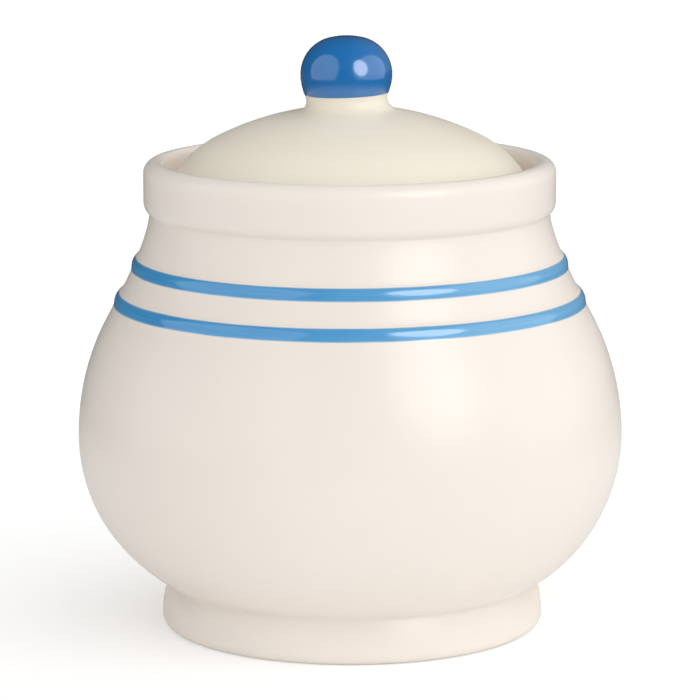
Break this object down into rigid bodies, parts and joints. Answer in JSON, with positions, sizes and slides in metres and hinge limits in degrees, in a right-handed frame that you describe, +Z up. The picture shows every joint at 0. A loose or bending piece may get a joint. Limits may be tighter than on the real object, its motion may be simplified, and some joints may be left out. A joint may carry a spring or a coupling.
{
  "type": "sugar bowl",
  "caption": "Round-bellied glazed ceramic sugar bowl on a foot ring, with a collar, raised bands and a domed lid with a ball knob that lifts off.",
  "frame": {"origin": "centre of the plane that the foot ring stands on", "axes": "+Z up along the axis that every piece is turned about; X and Y are equivalent"},
  "size_m": [0.11, 0.11, 0.1196],
  "materials": {
    "bowl_glaze": "glossy cream glaze",
    "lid_glaze": "glossy cream glaze, slightly yellower",
    "band_blue": "sky blue slip under clear glaze",
    "knob_blue": "deep blue glossy glaze"
  },
  "bodies": {
    "bowl": {"bowl": "bowl_glaze", "upper_band": "band_blue", "lower_band": "band_blue"},
    "lid": {"lid": "lid_glaze", "knob": "knob_blue"}
  },
  "joints": [
    {"name": "lid_lift", "type": "slide", "parent": "bowl", "child": "lid", "axis": [0, 0, 1], "range_m": [0, 0.03]}
  ]
}
